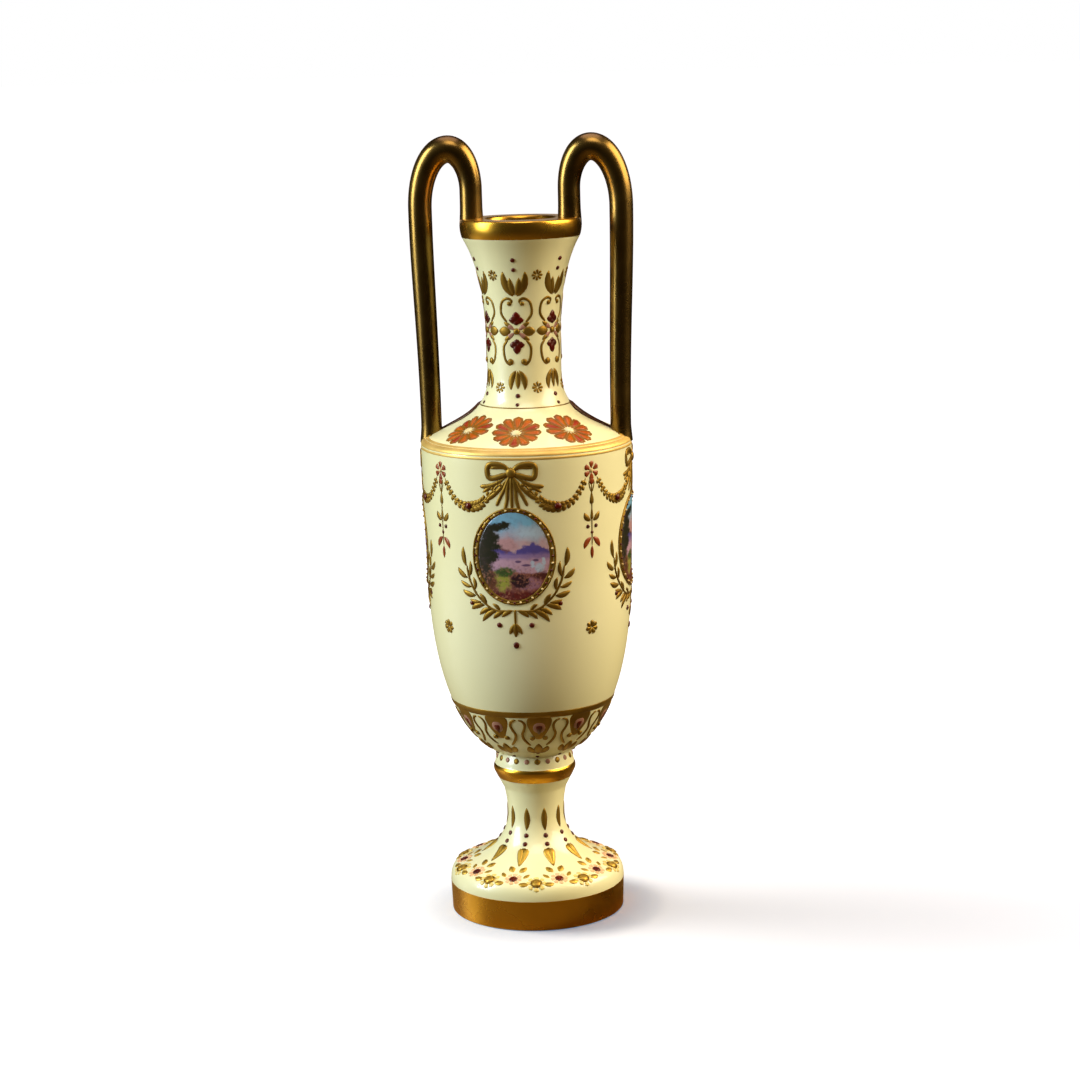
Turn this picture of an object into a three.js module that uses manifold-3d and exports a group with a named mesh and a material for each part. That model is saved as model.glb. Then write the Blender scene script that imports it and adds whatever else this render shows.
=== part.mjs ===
// A two-handled porcelain mantel urn, 255 mm tall, in millimetres, +Z up.
// The origin is the centre of the foot's standing ring. The handles lie in the XZ plane, and -Y is the front.
// Body, neck, pedestal foot and both handles were joined as wet clay and fired as one, so they are one
// solid: a hollow turned vessel, open at the mouth, on a trumpet foot that is hollow underneath, with a bent
// tapering rod on each side that rises from the shoulder, loops over and comes down on the rim.
import * as THREE from "three";
import { mergeVertices } from "three/addons/utils/BufferGeometryUtils.js";
import Module from "manifold-3d";

// Turning
const TURNED_SIDES = 42; // flats round the axis
const CURVE_STEPS = 16; // points first taken on each curved stretch of an outline
const CHORD_ERROR = 0.13; // how far the outline may stray when they are thinned out

// Foot and waist
const FOOT_RADIUS = 28.45;
const FOOT_BAND_HEIGHT = 9.3; // the upright band that the foot stands on
const FOOT_EDGE_ROUND = 0.6;
const STEM_RADIUS = 9.2;
const STEM_HEIGHT = 31.5; // where the stem is thinnest
const RING_RADIUS = 13.4; // the moulded ring between foot and bowl
const RING_HEIGHT = 48;
const WAIST_RADIUS = 12;
const WAIST_HEIGHT = 53.6;

// Body
const BOWL_TOP = 115; // where the bowl becomes the nearly straight side
const BOWL_RADIUS = 33.3;
const SHOULDER_RADIUS = 34.1;
const SHOULDER_HEIGHT = 157.2;
const SHOULDER_ROUND = 0.9;

// Neck and rim
const NECK_RADIUS = 11.95;
const NECK_START = 178;
const NECK_FLARE_START = 192;
const RIM_RADIUS = 19.4;
const RIM_BOTTOM = 222.8;
const RIM_TOP = 228.5;
const MOUTH_RADIUS = 11.6;

// Walls
const WALL = 3;
const BOWL_FLOOR = 57.5;
const STANDING_RING = 4.2; // width of the ring that the foot stands on
const STEM_HOLLOW_RADIUS = 5.6;
const STEM_HOLLOW_TOP = 42;

// Handles: centre line and rod radius
const URN_HEIGHT = 255;
const ROD = { rim: 3.6, crown: 4.4, top: 3.8, foot: 3.35 };
const LEG_ON_RIM = 15.75; // distances from the axis: the short leg,
const LEG_AT_TOP = 32.3; // the long leg level with the rim
const LEG_ON_SHOULDER = 30.8; // and at its foot,
const CROWN_AT = 22.9; // and the crown
const CROWN_HEIGHT = URN_HEIGHT - ROD.crown;
const SHORT_BEND = 13; // height of the bend on the rim side of the crown
const LONG_BEND = 18.6; // and on the outer side
const JOINT_DEPTH = 1.2; // how far each end goes into the clay it is joined to
const ROD_SIDES = 12;
const ROD_STEPS = [1, 9, 9, 8]; // rings on each stretch of the centre line

const wasm = await Module();
wasm.setup();

// The closed mesh of a geometry as a manifold-3d solid.
function solid(geometry) {
  geometry.deleteAttribute("normal");
  geometry.deleteAttribute("uv");
  const merged = mergeVertices(geometry, 1e-4);
  return new wasm.Manifold(
    new wasm.Mesh({
      numProp: 3,
      vertProperties: merged.attributes.position.array,
      triVerts: new Uint32Array(merged.index.array),
    }),
  );
}

// The fewest points of an outline whose chords stay within CHORD_ERROR of it. Each stretch keeps both ends.
function thinned(outline) {
  const chord = new THREE.Line3();
  const nearest = new THREE.Vector3();
  const kept = [];
  for (const stretch of outline.curves) {
    const points = stretch.getPoints(CURVE_STEPS).map((point) => new THREE.Vector3(point.x, point.y, 0));
    const strays = (point) => chord.closestPointToPoint(point, true, nearest).distanceTo(point) > CHORD_ERROR;
    let from = 0;
    kept.push(points[0]);
    for (let i = 2; i < points.length; i++) {
      chord.set(points[from], points[i]);
      if (!points.slice(from + 1, i).some(strays)) continue;
      from = i - 1;
      kept.push(points[from]);
    }
  }
  return [...kept, outline.getPoint(1)];
}

// The solid that an outline of radius and height sweeps round the Z axis.
function turned(outline) {
  return solid(new THREE.LatheGeometry(thinned(outline), TURNED_SIDES).rotateX(Math.PI / 2));
}

// The outer form from the standing ring up to the flat of the rim.
function outerForm() {
  const outline = new THREE.Path();
  outline.moveTo(0, 0);
  outline.lineTo(FOOT_RADIUS - FOOT_EDGE_ROUND, 0);
  outline.quadraticCurveTo(FOOT_RADIUS, 0, FOOT_RADIUS, FOOT_EDGE_ROUND);
  outline.lineTo(FOOT_RADIUS, FOOT_BAND_HEIGHT);
  // rounded lip, then the trumpet of the foot up into the stem
  outline.bezierCurveTo(FOOT_RADIUS + 0.5, 12, 28.2, 14.7, 26.4, 15.3);
  outline.bezierCurveTo(20.5, 17.2, STEM_RADIUS + 1, 20.8, STEM_RADIUS, STEM_HEIGHT);
  // stem, ring moulding and the cove above it
  outline.bezierCurveTo(STEM_RADIUS, 36, STEM_RADIUS + 0.6, 39, STEM_RADIUS + 1.1, 41.2);
  outline.quadraticCurveTo(RING_RADIUS - 1.6, 44, RING_RADIUS, RING_HEIGHT - 0.6);
  outline.quadraticCurveTo(RING_RADIUS + 0.3, RING_HEIGHT + 0.6, RING_RADIUS - 0.3, RING_HEIGHT + 1.4);
  outline.quadraticCurveTo(12.8, 51.6, WAIST_RADIUS, WAIST_HEIGHT);
  // bowl and side
  outline.bezierCurveTo(23.8, 59.5, 33, 78.3, BOWL_RADIUS, BOWL_TOP);
  outline.quadraticCurveTo(33.9, 134, SHOULDER_RADIUS, SHOULDER_HEIGHT - SHOULDER_ROUND);
  outline.quadraticCurveTo(
    SHOULDER_RADIUS,
    SHOULDER_HEIGHT + 0.2,
    SHOULDER_RADIUS - SHOULDER_ROUND,
    SHOULDER_HEIGHT + SHOULDER_ROUND * 0.8,
  );
  // sloping shoulder, neck and flare
  outline.bezierCurveTo(22, 164, NECK_RADIUS + 0.3, 165.5, NECK_RADIUS, NECK_START);
  outline.lineTo(NECK_RADIUS, NECK_FLARE_START);
  outline.bezierCurveTo(12.2, 203, 14.2, 214.5, 18.7, RIM_BOTTOM - 0.5);
  // rim band
  outline.lineTo(18.9, RIM_BOTTOM);
  outline.quadraticCurveTo(RIM_RADIUS + 0.3, RIM_BOTTOM + 2.4, RIM_RADIUS, RIM_TOP - 0.6);
  outline.quadraticCurveTo(RIM_RADIUS - 0.1, RIM_TOP, RIM_RADIUS - 0.7, RIM_TOP);
  outline.lineTo(0, RIM_TOP);
  return turned(outline);
}

// The hollow of the vessel, one wall inside the outer form.
function vesselHollow() {
  const outline = new THREE.Path();
  outline.moveTo(0, BOWL_FLOOR);
  outline.bezierCurveTo(20, 58.5, 30, 81, BOWL_RADIUS - WALL, BOWL_TOP);
  outline.lineTo(SHOULDER_RADIUS - WALL, SHOULDER_HEIGHT - WALL - 1);
  outline.quadraticCurveTo(
    SHOULDER_RADIUS - WALL,
    SHOULDER_HEIGHT - WALL + 0.5,
    SHOULDER_RADIUS - WALL - 1.8,
    SHOULDER_HEIGHT - WALL + 1,
  );
  outline.bezierCurveTo(19.5, 161, NECK_RADIUS - WALL + 0.3, 163, NECK_RADIUS - WALL, NECK_START);
  outline.lineTo(NECK_RADIUS - WALL, NECK_FLARE_START);
  outline.bezierCurveTo(9.1, 205, 10.2, 218, MOUTH_RADIUS - 0.6, RIM_TOP - 1.2);
  outline.quadraticCurveTo(MOUTH_RADIUS - 0.2, RIM_TOP - 0.3, MOUTH_RADIUS, RIM_TOP);
  outline.lineTo(0, RIM_TOP);
  return turned(outline);
}

// The hollow under the foot, open below, which ends inside the stem.
function footHollow() {
  const mouth = FOOT_RADIUS - STANDING_RING;
  const outline = new THREE.Path();
  outline.moveTo(0, -1);
  outline.lineTo(mouth, -1);
  outline.lineTo(mouth - 0.3, 6);
  outline.bezierCurveTo(mouth - 0.8, 14.5, STEM_HOLLOW_RADIUS + 0.4, 10.5, STEM_HOLLOW_RADIUS, 27);
  outline.lineTo(STEM_HOLLOW_RADIUS, STEM_HOLLOW_TOP - 3);
  outline.quadraticCurveTo(STEM_HOLLOW_RADIUS, STEM_HOLLOW_TOP, 0, STEM_HOLLOW_TOP + 0.5);
  return turned(outline);
}

// The centre line of the handle on the +X side, from the rim over the crown down to the shoulder.
function handleLine() {
  const point = (x, z) => new THREE.Vector3(x, 0, z);
  // a quarter of an ellipse as a cubic, with its usual handle length
  const QUARTER = 0.5523;
  const rimBend = CROWN_HEIGHT - SHORT_BEND;
  const outerBend = CROWN_HEIGHT - LONG_BEND;
  const line = new THREE.CurvePath();
  line.add(new THREE.LineCurve3(point(LEG_ON_RIM, RIM_TOP - JOINT_DEPTH), point(LEG_ON_RIM, rimBend)));
  line.add(
    new THREE.CubicBezierCurve3(
      point(LEG_ON_RIM, rimBend),
      point(LEG_ON_RIM, rimBend + SHORT_BEND * QUARTER),
      point(CROWN_AT - (CROWN_AT - LEG_ON_RIM) * QUARTER, CROWN_HEIGHT),
      point(CROWN_AT, CROWN_HEIGHT),
    ),
  );
  line.add(
    new THREE.CubicBezierCurve3(
      point(CROWN_AT, CROWN_HEIGHT),
      point(CROWN_AT + (LEG_AT_TOP - CROWN_AT) * QUARTER, CROWN_HEIGHT),
      point(LEG_AT_TOP, outerBend + LONG_BEND * QUARTER),
      point(LEG_AT_TOP, outerBend),
    ),
  );
  line.add(
    new THREE.CubicBezierCurve3(
      point(LEG_AT_TOP, outerBend),
      point(LEG_AT_TOP, 210),
      point(LEG_ON_SHOULDER, 190),
      point(LEG_ON_SHOULDER, SHOULDER_HEIGHT - JOINT_DEPTH + 0.6),
    ),
  );
  return line;
}

// Rings along the centre line: where each one is, which way the rod runs there, and how thick it is.
function handleRings() {
  const radii = [ROD.rim, ROD.rim, ROD.crown, ROD.top, ROD.foot];
  const rings = [];
  handleLine().curves.forEach((stretch, i) => {
    for (let step = i ? 1 : 0; step <= ROD_STEPS[i]; step++) {
      const share = step / ROD_STEPS[i];
      const radius = THREE.MathUtils.lerp(radii[i], radii[i + 1], THREE.MathUtils.smoothstep(share, 0, 1));
      rings.push({ centre: stretch.getPoint(share), along: stretch.getTangent(share), radius });
    }
  });
  return rings;
}

// One handle: a cylinder bent along the centre line, its rings widened to the rod's radius.
function handle(side) {
  const rings = handleRings();
  const steps = rings.length - 1;
  const geometry = new THREE.CylinderGeometry(1, 1, 1, ROD_SIDES, steps);
  const position = geometry.attributes.position;
  const at = new THREE.Vector3();
  for (let i = 0; i < position.count; i++) {
    at.fromBufferAttribute(position, i);
    const { centre, along, radius } = rings[Math.round((at.y + 0.5) * steps)];
    const x = centre.x - along.z * at.x * radius;
    const z = centre.z + along.x * at.x * radius;
    position.setXYZ(i, x, at.z * radius, z);
  }
  if (side < 0) geometry.rotateZ(Math.PI);
  return solid(geometry);
}

const body = outerForm().add(handle(1)).add(handle(-1)).subtract(vesselHollow()).subtract(footHollow());

// A solid as a three.js geometry with flat faces.
function geometryOf(made) {
  const mesh = made.getMesh();
  const geometry = new THREE.BufferGeometry();
  geometry.setAttribute("position", new THREE.BufferAttribute(mesh.vertProperties, 3));
  geometry.setIndex(new THREE.BufferAttribute(mesh.triVerts, 1));
  geometry.computeVertexNormals();
  return geometry;
}

const porcelain = new THREE.MeshStandardMaterial({ color: 0xe9dfb8, roughness: 0.12, metalness: 0 });

const urnMesh = new THREE.Mesh(geometryOf(body), porcelain);
urnMesh.name = "urn";

const urn = new THREE.Group();
urn.add(urnMesh);

export default urn;
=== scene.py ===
"""Mantel urn: ivory-glazed porcelain with two gilt loop handles, raised gilding and painted enamels.
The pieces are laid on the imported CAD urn, in metres, in its own frame."""

import math

import bpy
import numpy as np
from mathutils import Matrix, Vector


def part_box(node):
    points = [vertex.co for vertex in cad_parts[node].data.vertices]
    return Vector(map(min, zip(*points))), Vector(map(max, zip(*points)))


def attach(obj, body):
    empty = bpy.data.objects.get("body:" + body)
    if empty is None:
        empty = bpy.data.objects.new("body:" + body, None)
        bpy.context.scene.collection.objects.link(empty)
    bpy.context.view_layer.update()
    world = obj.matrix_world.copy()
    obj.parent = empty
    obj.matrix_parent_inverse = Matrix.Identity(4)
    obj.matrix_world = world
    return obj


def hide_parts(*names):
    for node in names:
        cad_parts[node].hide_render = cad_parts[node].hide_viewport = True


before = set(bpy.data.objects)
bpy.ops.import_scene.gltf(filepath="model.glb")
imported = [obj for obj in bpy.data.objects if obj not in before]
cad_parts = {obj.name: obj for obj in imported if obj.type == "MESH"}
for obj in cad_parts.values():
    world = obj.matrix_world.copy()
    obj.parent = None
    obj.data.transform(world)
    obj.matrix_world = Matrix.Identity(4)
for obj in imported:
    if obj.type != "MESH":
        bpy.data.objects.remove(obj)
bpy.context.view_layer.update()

# The camera stands a little to the right of the urn's front, above its handles, and looks down at it.
# It is a long lens that takes in the whole urn with white space round it.
CAMERA_DISTANCE = 0.834
CAMERA_HEIGHT = 0.2809
CAMERA_TURN = math.radians(6.6)  # round to the urn's right
CAMERA_PAN = math.radians(0.25)  # the urn stands just left of the middle
CAMERA_PITCH = math.radians(10.67)
CAMERA_ROLL = math.radians(1.45)
CAMERA_LENS = 86.67
CAMERA_FILM = 36

camera = bpy.data.objects.new("camera", bpy.data.cameras.new("camera"))
bpy.context.scene.collection.objects.link(camera)
camera.data.lens = CAMERA_LENS
camera.data.sensor_width = CAMERA_FILM
stand = Vector((math.sin(CAMERA_TURN), -math.cos(CAMERA_TURN), 0)) * CAMERA_DISTANCE
aim = math.pi / 2 - CAMERA_PITCH
camera.matrix_world = (
    Matrix.Translation(stand + Vector((0, 0, CAMERA_HEIGHT)))
    @ Matrix.Rotation(CAMERA_TURN - CAMERA_PAN, 4, "Z")
    @ Matrix.Rotation(aim, 4, "X")
    @ Matrix.Rotation(-CAMERA_ROLL, 4, "Z")
)
bpy.context.scene.camera = camera

# The vessel: one casting of porcelain, a closed bowl on a hollow foot, thrown and turned to this outline,
# dipped in ivory glaze and fired. Outlines are (radius, height) in millimetres.
URN_HEIGHT = 255
base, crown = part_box("urn")
MM = (crown.z - base.z) / URN_HEIGHT  # one millimetre of the outlines, in metres
TURNED_SIDES = 256


def stretch(*guides, steps=14):
    """Points along a straight line, or a curve with one or two points that pull it."""
    share = np.linspace(0, 1, steps + 1)[:, None]
    row = [np.repeat([np.array(guide, float)], steps + 1, axis=0) for guide in guides]
    while len(row) > 1:
        row = [a + (b - a) * share for a, b in zip(row, row[1:])]
    return row[0]


def joined(*stretches):
    """Stretches end to end, each shared point once."""
    return np.concatenate([stretches[0]] + [s[1:] for s in stretches[1:]])


def distance_along(line):
    """How far along a line each of its points is."""
    return np.append(0, np.cumsum(np.hypot(*np.diff(line, axis=0).T)))


OUTSIDE = joined(
    stretch((0, 0), (24.3, 0), steps=2),
    stretch((24.3, 0), (27.85, 0), steps=2),
    stretch((27.85, 0), (28.45, 0), (28.45, 0.6), steps=4),
    stretch((28.45, 0.6), (28.75, 9.4), steps=4),
    stretch((28.75, 9.4), (29, 11.8), (28.3, 14.7), (26.4, 15.3)),
    stretch((26.4, 15.3), (20.5, 17.2), (10.2, 20.8), (9.2, 31.5), steps=24),
    stretch((9.2, 31.5), (9.2, 36), (9.8, 39), (10.3, 41.2)),
    stretch((10.3, 41.2), (11.8, 44), (13.4, 47.4), steps=8),
    stretch((13.4, 47.4), (13.7, 48.6), (13.1, 49.4), steps=6),
    stretch((13.1, 49.4), (12.8, 51.6), (12, 53.6), steps=6),
    stretch((12, 53.6), (23.8, 59.5), (33, 78.3), (33.3, 115), steps=36),
    stretch((33.3, 115), (33.9, 134), (34.1, 156.3), steps=12),
    stretch((34.1, 156.3), (34.1, 157.4), (33.2, 157.92), steps=6),
    stretch((33.2, 157.92), (22, 164), (12.25, 165.5), (11.95, 178), steps=24),
    stretch((11.95, 178), (11.95, 192), steps=4),
    stretch((11.95, 192), (12.2, 203), (14.2, 214.5), (18.7, 222.3), steps=20),
    stretch((18.7, 222.3), (18.9, 222.8), steps=1),
    stretch((18.9, 222.8), (19.7, 225.2), (19.4, 227.9), steps=8),
    stretch((19.4, 227.9), (19.3, 228.5), (18.7, 228.5), steps=4),
    stretch((18.7, 228.5), (11.9, 228.5), steps=4),
)
INSIDE = joined(
    stretch((11.9, 228.5), (11.2, 228.4), (11, 227.3), steps=6),
    stretch((11, 227.3), (10.2, 218), (9.1, 205), (8.95, 192), steps=12),
    stretch((8.95, 192), (8.95, 178), steps=2),
    stretch((8.95, 178), (9.25, 163), (19.5, 161), (29.3, 154.2), steps=14),
    stretch((29.3, 154.2), (31.1, 153.7), (31.1, 153.2), steps=4),
    stretch((31.1, 153.2), (30.3, 115), steps=4),
    stretch((30.3, 115), (30, 81), (20, 58.5), (0, 57.5), steps=20),
)
UNDER_FOOT = joined(
    stretch((0, 42.5), (5.6, 42), (5.6, 39), steps=6),
    stretch((5.6, 39), (5.6, 27), steps=2),
    stretch((5.6, 27), (6, 10.5), (23.5, 14.5), (24, 6), steps=16),
    stretch((24, 6), (24.3, 0), steps=2),
)
# every place on the outside is a turn from the front, in degrees, and a distance run up this outline
SKIN = OUTSIDE[2:]
RUN = distance_along(SKIN)
SLOPE = np.gradient(SKIN, RUN, axis=0)
SLOPE /= np.hypot(*SLOPE.T)[:, None]


def run_at(height):
    """The distance run up the outline where it is this high."""
    return np.interp(height, SKIN[:, 1], RUN)


def radius_at(run):
    """The urn's radius at this distance up the outline."""
    return np.interp(run, RUN, SKIN[:, 0])


def on_skin(turn, run, lift=0.0):
    """The point on the outside at this turn and run, raised by lift, in metres."""
    out_r = np.interp(run, RUN, SLOPE[:, 1])
    out_z = -np.interp(run, RUN, SLOPE[:, 0])
    r = radius_at(run) + out_r * lift
    z = np.interp(run, RUN, SKIN[:, 1]) + out_z * lift
    turn = np.radians(turn)
    return np.stack(np.broadcast_arrays(r * np.sin(turn), -r * np.cos(turn), z), -1) * MM


def piece(name, points, faces, material, sharp_over=180):
    """A mesh object that rides on the urn."""
    mesh = bpy.data.meshes.new(name)
    mesh.from_pydata([tuple(p) for p in points], [], faces)
    mesh.polygons.foreach_set("use_smooth", [True] * len(faces))
    if sharp_over < 180:
        mesh.set_sharp_from_angle(angle=math.radians(sharp_over))
    mesh.materials.append(material)
    made = bpy.data.objects.new(name, mesh)
    bpy.context.scene.collection.objects.link(made)
    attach(made, "root")
    return made


def even_turns(count):
    """Equal steps of a full turn, in radians."""
    return np.radians(np.arange(count) * 360 / count)


def walls(rows, count, closed=False):
    """Faces between rows of points, each row a ring of this many; if closed, the last row joins the first."""
    total = rows * count
    faces = []
    for a in range(0, total if closed else total - count, count):
        b = (a + count) % total
        faces += [(a + i, a + (i + 1) % count, b + (i + 1) % count, b + i) for i in range(count)]
    return faces


def fan(tip, ring, count, below=False):
    """Faces from a point to a ring, seen from above or from below."""
    sides = [(ring + i, ring + (i + 1) % count) for i in range(count)]
    return [(tip, b, a) if below else (tip, a, b) for a, b in sides]


def turned(outline):
    """Points and faces of an outline swept round the axis: a closed ring, or ends on the axis."""
    on_axis = outline[0][0] == 0
    turns = even_turns(TURNED_SIDES)
    ring = np.stack([np.sin(turns), -np.cos(turns)], -1)
    kept = outline[1:-1] if on_axis else outline
    points = [(r * x * MM, r * y * MM, z * MM) for r, z in kept for x, y in ring]
    faces = walls(len(kept), TURNED_SIDES, closed=not on_axis)
    if on_axis:
        bottom, top = len(points), len(points) + 1
        points += [(0, 0, outline[0][1] * MM), (0, 0, outline[-1][1] * MM)]
        faces += fan(bottom, 0, TURNED_SIDES, below=True)
        faces += fan(top, bottom - TURNED_SIDES, TURNED_SIDES)
    return points, faces


def colour(red, green, blue):
    """A paint colour named as on a chart, as the light that it reflects."""
    chart = np.array([red, green, blue]) / 255
    light = np.where(chart > 0.04045, ((chart + 0.055) / 1.055) ** 2.4, chart / 12.92)
    return (*light, 1.0)


def finish(name, settings):
    """A material with its shader set so, the shader and the node tree."""
    material = bpy.data.materials.new(name)
    material.use_nodes = True
    shader = material.node_tree.nodes["Principled BSDF"]
    for socket, value in settings.items():
        shader.inputs[socket].default_value = value
    return material, shader, material.node_tree


def feed(tree, sockets, values):
    """Give each socket its value, or link it to another node's output."""
    for socket, value in zip(sockets, values):
        if isinstance(value, bpy.types.NodeSocket):
            tree.links.new(value, socket)
        elif value is not None:
            socket.default_value = value


def node(tree, kind, *inputs, **settings):
    """A node with its inputs given in order."""
    made = tree.nodes.new("ShaderNode" + kind)
    for setting, value in settings.items():
        setattr(made, setting, value)
    feed(tree, made.inputs, inputs)
    return made


def noise(tree, scale, detail):
    """Cloudy noise over the piece, as many clouds to the metre as scale says."""
    place = node(tree, "TexCoord").outputs["Object"]
    return node(tree, "TexNoise", place, None, scale, detail).outputs[0]


def mottle(tree, scale, low, high):
    """Soft cloudy variation between two values."""
    return node(tree, "MapRange", noise(tree, scale, 3.0), 0.3, 0.7, low, high).outputs[0]


def blended(tree, share, first, second):
    """One colour going over to another as share goes from 0 to 1."""
    mix = node(tree, "Mix", share, data_type="RGBA")
    feed(tree, mix.inputs[6:8], (first, second))
    return mix.outputs[2]


def fired(name, settings, clouds, light, dark, rough_clouds, rough):
    """A fired finish: its colour clouds between two, and its roughness between two values."""
    material, shader, tree = finish(name, settings)
    tint = blended(tree, mottle(tree, clouds, 0, 1), light, dark)
    tree.links.new(tint, shader.inputs["Base Color"])
    tree.links.new(mottle(tree, rough_clouds, *rough), shader.inputs["Roughness"])
    return material


def rippled(material, scale, depth):
    """Leave the surface not quite even, by this depth in millimetres."""
    tree = material.node_tree
    bump = node(tree, "Bump")
    bump.inputs["Strength"].default_value = 1.0
    bump.inputs["Distance"].default_value = depth * MM
    tree.links.new(noise(tree, scale, 1.0), bump.inputs["Height"])
    tree.links.new(bump.outputs[0], tree.nodes["Principled BSDF"].inputs["Normal"])


glaze = {"Coat Weight": 0.35, "Coat Roughness": 0.08}
ivory = fired("ivory_glaze", glaze, 14, colour(236, 231, 178), colour(230, 223, 160), 60, (0.3, 0.4))
rippled(ivory, 90, 0.03)

points, faces = turned(joined(UNDER_FOOT[:-1], SKIN, INSIDE))
vessel = piece("vessel", points, faces, ivory, sharp_over=40)
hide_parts("urn")

# Burnished gilding: bright gold laid over the glaze, fired and rubbed, on the side of the foot, on the ring
# under the bowl, and on the rim with the inside of the mouth.
GILT_OVER = 0.06  # how far the gold stands over the glaze
GILT_UNDER = 0.25  # and how far its mesh reaches under it

metal = {"Metallic": 1.0}
gilding = fired("burnished_gilding", metal, 40, colour(222, 168, 56), colour(202, 148, 40), 90, (0.24, 0.32))
rippled(gilding, 90, 0.03)


def heading(line):
    """The way that a line runs at each of its points."""
    along = np.gradient(line, axis=0)
    return along / np.hypot(*along.T)[:, None]


def gilt_band(name, outline):
    """A skin of gold along a stretch of outline, right round the urn."""
    along = heading(outline)
    outward = np.stack([along[:, 1], -along[:, 0]], -1)
    over = outline + outward * GILT_OVER
    under = outline - outward * GILT_UNDER
    points, faces = turned(np.concatenate([under[:1], over, under[::-1]]))
    return piece(name, points, faces, gilding, sharp_over=50)


def between(outline, low, high):
    """The part of an outline between two heights."""
    return outline[(outline[:, 1] > low) & (outline[:, 1] < high)]


gilt_band("foot_band_gilding", between(SKIN, 0.2, 10.4))
gilt_band("ring_gilding", between(SKIN, 44.4, 49.8))
gilt_band("rim_gilding", joined(between(SKIN, 222.5, 228.6), between(INSIDE, 214, 228.6)))

# The handles: two round rods of porcelain, rolled and bent while soft, stuck with slip to the rim and the
# shoulder, and gilded all over. Each thickens over its crown and spreads a little where it joins the rim.
RIM_END, SHOULDER_END = 225.9, 156.6  # the heights where the rod's ends lie inside the rim and the shoulder
NEAR, PEAK, FAR, FOOT = 15.75, 22.9, 32.3, 30.8  # the rod's middle out from the axis, from rim to shoulder
NEAR_BEND, FAR_BEND = 13, 18.6  # how far the crown comes down on either side of its peak
BEND_PULL = 0.5523  # how far the pulling points of a quarter bend lie along it
ROD = {"rim": 3.6, "crown": 4.4, "top": 3.8, "foot": 3.35}  # its radius
ROD_SIDES = 32

# the handles' gold is the rim's burnished gold painted darker, in the same finish: painted shade for the dark
# that the rods show between their highlights
handle_gold_painted_shade = fired("handle_gilding_painted_shade", metal, 40, colour(138, 108, 50), colour(116, 88, 38), 90, (0.24, 0.32))
rippled(handle_gold_painted_shade, 90, 0.03)


def handle_line():
    """Centre line (distance from the axis, height) and the rod's radius along it."""
    peak = URN_HEIGHT - ROD["crown"]
    short, long = peak - NEAR_BEND, peak - FAR_BEND
    short_pull, long_pull = short + NEAR_BEND * BEND_PULL, long + FAR_BEND * BEND_PULL
    near_pull, far_pull = PEAK - (PEAK - NEAR) * BEND_PULL, PEAK + (FAR - PEAK) * BEND_PULL
    parts = [
        stretch((NEAR, RIM_END), (NEAR, short), steps=12),
        stretch((NEAR, short), (NEAR, short_pull), (near_pull, peak), (PEAK, peak), steps=24),
        stretch((PEAK, peak), (far_pull, peak), (FAR, long_pull), (FAR, long), steps=28),
        stretch((FAR, long), (FAR, 210), (FOOT, 190), (FOOT, SHOULDER_END), steps=40),
    ]
    ends = [ROD["rim"], ROD["rim"], ROD["crown"], ROD["top"], ROD["foot"]]
    radii = []
    for part, a, b in zip(parts, ends, ends[1:]):
        share = np.linspace(0, 1, len(part))
        radii.append((a + (b - a) * share * share * (3 - 2 * share))[:, None])
    line, radius = joined(*parts), joined(*radii)[:, 0]
    run = distance_along(line)
    spread = 0.3 * np.exp(-((run / 4) ** 2)) + 0.5 * np.exp(-(((run[-1] - run) / 3) ** 2))
    return line, radius + spread


def inside_out(faces):
    """The same four-sided faces, seen from the other side."""
    return [(a, d, c, b) for a, b, c, d in faces]


def handle(name, side):
    line, radius = handle_line()
    turns = even_turns(ROD_SIDES)
    points = []
    for (x, z), (dx, dz), r in zip(line, heading(line), radius):
        out, depth = np.cos(turns) * r, np.sin(turns) * r
        ring = np.stack([(x + dz * out) * side, depth * side, z - dx * out], -1)
        points += [tuple(p) for p in ring * MM]
    faces = inside_out(walls(len(line), ROD_SIDES))
    faces.append(tuple(range(ROD_SIDES)))
    faces.append(tuple(reversed(range(len(points) - ROD_SIDES, len(points)))))
    return piece(name, points, faces, handle_gold_painted_shade, sharp_over=60)


handle("handle_right", 1)
handle("handle_left", -1)

# Gold painted with a brush while the urn turns on a wheel, left duller: a line round the foot of the neck,
# three at the edge of the shoulder, and a broad one over the bowl's painted border.
SINK = 0.05  # the edges of raised work lie this far under the glaze, so that no gap shows
HOOP_CROSS = 9  # points across a line


def brushed_gold(name, metallic, light, dark, rough):
    """Gold as the brush leaves it: part metal, part the flux that it was painted with."""
    return fired(name, {"Metallic": metallic}, 120, light, dark, 200, rough)


raised_gold = brushed_gold("raised_gilding", 0.85, colour(152, 118, 38), colour(124, 92, 26), (0.4, 0.55))
rippled(raised_gold, 700, 0.02)
# the three lines at the shoulder's edge are this gold painted paler than the other brushwork: a painted
# highlight for the light that the shoulder's top catches
edge_gold_painted_light = brushed_gold("edge_gilding_painted_light", 0.6, colour(236, 198, 108), colour(216, 176, 84), (0.45, 0.6))


def hoop(name, at, width, height, material=raised_gold):
    """A line of gold right round the urn at a height, low and rounded across."""
    arc = np.linspace(0, math.pi, HOOP_CROSS)
    across = run_at(at) + np.cos(arc) * width / 2
    lift = np.sin(arc) * height - SINK
    ring = on_skin(90, across, lift) / MM
    points, faces = turned(ring[::-1, [0, 2]])
    return piece(name, points, faces, material)


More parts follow.
